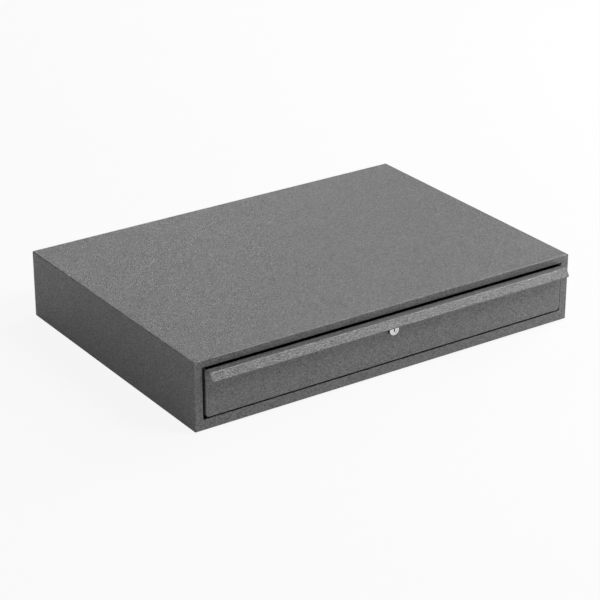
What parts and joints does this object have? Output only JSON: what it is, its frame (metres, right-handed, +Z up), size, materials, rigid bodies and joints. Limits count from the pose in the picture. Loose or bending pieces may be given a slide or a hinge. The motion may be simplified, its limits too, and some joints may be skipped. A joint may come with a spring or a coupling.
{
  "type": "bank teller deposit drawer",
  "caption": "Flat sheet steel counter case with one wide lockable drawer on ball bearing slides, full width pull and divided cash tray.",
  "frame": {"origin": "on the ground plane, under the middle of the object's box with the pull included", "axes": "+X to the user's right along the width, -Y towards the user, the way the drawer opens, +Z up"},
  "size_m": [0.635, 0.4666, 0.1046],
  "materials": {
    "powder_coat": "dark grey fine-textured powder coat, satin",
    "zinc_plate": "bright zinc plate on rolled steel",
    "zinc_hardware": "zinc plate",
    "black_screw": "black oxide",
    "ball_steel": "polished bearing steel",
    "black_rubber": "matt",
    "black_plastic": "moulded, fine spark texture",
    "lock_chrome": "bright chrome plate on zinc"
  },
  "bodies": {
    "case": {"case_shell": "powder_coat", "front_frame": "powder_coat", "opening_liner": "powder_coat", "base_frame": "powder_coat", "rear_frame": "powder_coat", "base_pan": "powder_coat", "back_panel": "powder_coat", "base_screws": "black_screw", "back_screws": "black_screw", "rubber_feet": "black_rubber", "rear_bumpers": "black_rubber", "lock_keeper": "zinc_plate", "keeper_rivets": "zinc_hardware", "slide_bracket_right": "zinc_plate", "slide_bracket_left": "zinc_plate", "outer_slide_right": "zinc_plate", "outer_slide_left": "zinc_plate", "outer_slide_screws": "zinc_hardware"},
    "drawer": {"drawer_front": "powder_coat", "tray_floor_panel": "powder_coat", "tray_side_panel_right": "powder_coat", "tray_side_panel_left": "powder_coat", "tray_front_panel": "powder_coat", "tray_rear_panel": "powder_coat", "front_nuts": "zinc_hardware", "front_divider_strip": "black_plastic", "rear_divider_strip": "black_plastic", "strip_rivets": "zinc_hardware", "cross_divider": "powder_coat", "long_divider_1": "powder_coat", "long_divider_2": "powder_coat", "long_divider_3": "powder_coat", "long_divider_4": "powder_coat", "long_divider_5": "powder_coat", "inner_slide_right": "zinc_plate", "inner_slide_left": "zinc_plate", "inner_slide_screws": "zinc_hardware", "lock_housing": "lock_chrome", "lock_washer": "zinc_hardware", "lock_nut": "zinc_hardware"},
    "slide_middles": {"middle_slide_right": "zinc_plate", "middle_slide_left": "zinc_plate"},
    "outer_cages": {"outer_ball_cage_right": "zinc_plate", "outer_ball_cage_left": "zinc_plate", "outer_balls": "ball_steel"},
    "inner_cages": {"inner_ball_cage_right": "zinc_plate", "inner_ball_cage_left": "zinc_plate", "inner_balls": "ball_steel"},
    "lock": {"lock_plug": "lock_chrome", "lock_cam": "zinc_hardware", "cam_screw": "zinc_hardware"}
  },
  "joints": [
    {"name": "drawer_slide", "type": "slide", "parent": "case", "child": "drawer", "axis": [0, -1, 0], "range_m": [0, 0.4]},
    {"name": "middle_slide_travel", "type": "slide", "parent": "case", "child": "slide_middles", "axis": [0, -1, 0], "range_m": [0, 0.2]},
    {"name": "outer_cage_travel", "type": "slide", "parent": "case", "child": "outer_cages", "axis": [0, -1, 0], "range_m": [0, 0.1]},
    {"name": "inner_cage_travel", "type": "slide", "parent": "case", "child": "inner_cages", "axis": [0, -1, 0], "range_m": [0, 0.3]},
    {"name": "lock_turn", "type": "hinge", "parent": "drawer", "child": "lock", "pos_m": [0, -0.21558, 0.0706], "axis": [0, 1, 0], "range_deg": [0, 90]}
  ],
  "couplings": [
    {"joint": "middle_slide_travel", "follows": "drawer_slide", "ratio": 0.5},
    {"joint": "outer_cage_travel", "follows": "drawer_slide", "ratio": 0.25},
    {"joint": "inner_cage_travel", "follows": "drawer_slide", "ratio": 0.75}
  ]
}
